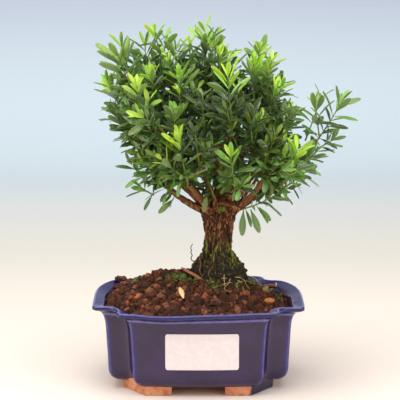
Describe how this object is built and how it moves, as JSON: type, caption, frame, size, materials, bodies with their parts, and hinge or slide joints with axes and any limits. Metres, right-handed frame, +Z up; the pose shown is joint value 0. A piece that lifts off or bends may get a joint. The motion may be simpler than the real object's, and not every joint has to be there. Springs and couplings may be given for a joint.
{
  "type": "boxwood bonsai",
  "caption": "Small broom-style boxwood tree with narrow glossy leaves, in granular soil in a blue glazed oblong pot with notched corners and low feet.",
  "frame": {"origin": "centre of the bounding box's underside, on the plane that the pot's feet stand on", "axes": "+Z up; the pot's long front wall, with its label, faces -Y; +X is to the right seen from the front"},
  "size_m": [0.1816, 0.1336, 0.2486],
  "materials": {
    "glazed_pot": "gloss",
    "soil": "matte",
    "bark": "matte",
    "leaf": "satin",
    "young_leaf": "satin",
    "drain_mesh": "matte",
    "wire": "satin",
    "label_paper": "matte",
    "chip_wood": "matte",
    "husk": "matte"
  },
  "bodies": {
    "root": {"pot": "glazed_pot", "soil": "soil", "trunk": "bark", "drain_mesh_left": "drain_mesh", "drain_mesh_right": "drain_mesh", "mesh_wire_left": "wire", "mesh_wire_right": "wire", "blank_label": "label_paper", "wood_chip": "chip_wood", "seed_husk": "husk", "leafy_shoot_01": "leaf", "leafy_shoot_02": "leaf", "leafy_shoot_03": "young_leaf", "leafy_shoot_04": "young_leaf", "leafy_shoot_05": "young_leaf", "leafy_shoot_06": "leaf", "leafy_shoot_07": "leaf", "leafy_shoot_08": "leaf", "leafy_shoot_09": "leaf", "leafy_shoot_10": "leaf", "leafy_shoot_11": "leaf", "leafy_shoot_12": "leaf", "leafy_shoot_13": "leaf", "leafy_shoot_14": "leaf", "leafy_shoot_15": "young_leaf", "leafy_shoot_16": "young_leaf", "leafy_shoot_17": "leaf", "leafy_shoot_18": "young_leaf", "leafy_shoot_19": "young_leaf", "leafy_shoot_20": "young_leaf", "leafy_shoot_21": "young_leaf", "leafy_shoot_22": "leaf", "leafy_shoot_23": "leaf", "leafy_shoot_24": "leaf", "leafy_shoot_25": "leaf", "leafy_shoot_26": "leaf", "leafy_shoot_27": "leaf", "leafy_shoot_28": "leaf", "leafy_shoot_29": "leaf", "leafy_shoot_30": "young_leaf", "leafy_shoot_31": "leaf", "leafy_shoot_32": "leaf", "leafy_shoot_33": "leaf", "leafy_shoot_34": "leaf", "leafy_shoot_35": "leaf", "leafy_shoot_36": "leaf", "leafy_shoot_37": "leaf", "leafy_shoot_38": "leaf", "leafy_shoot_39": "leaf", "leafy_shoot_40": "leaf", "leafy_shoot_41": "leaf", "leafy_shoot_42": "leaf", "leafy_shoot_43": "leaf", "leafy_shoot_44": "leaf", "leafy_shoot_45": "leaf", "leafy_shoot_46": "leaf", "leafy_shoot_47": "leaf", "leafy_shoot_48": "leaf", "leafy_shoot_49": "leaf", "leafy_shoot_50": "leaf"}
  },
  "joints": []
}
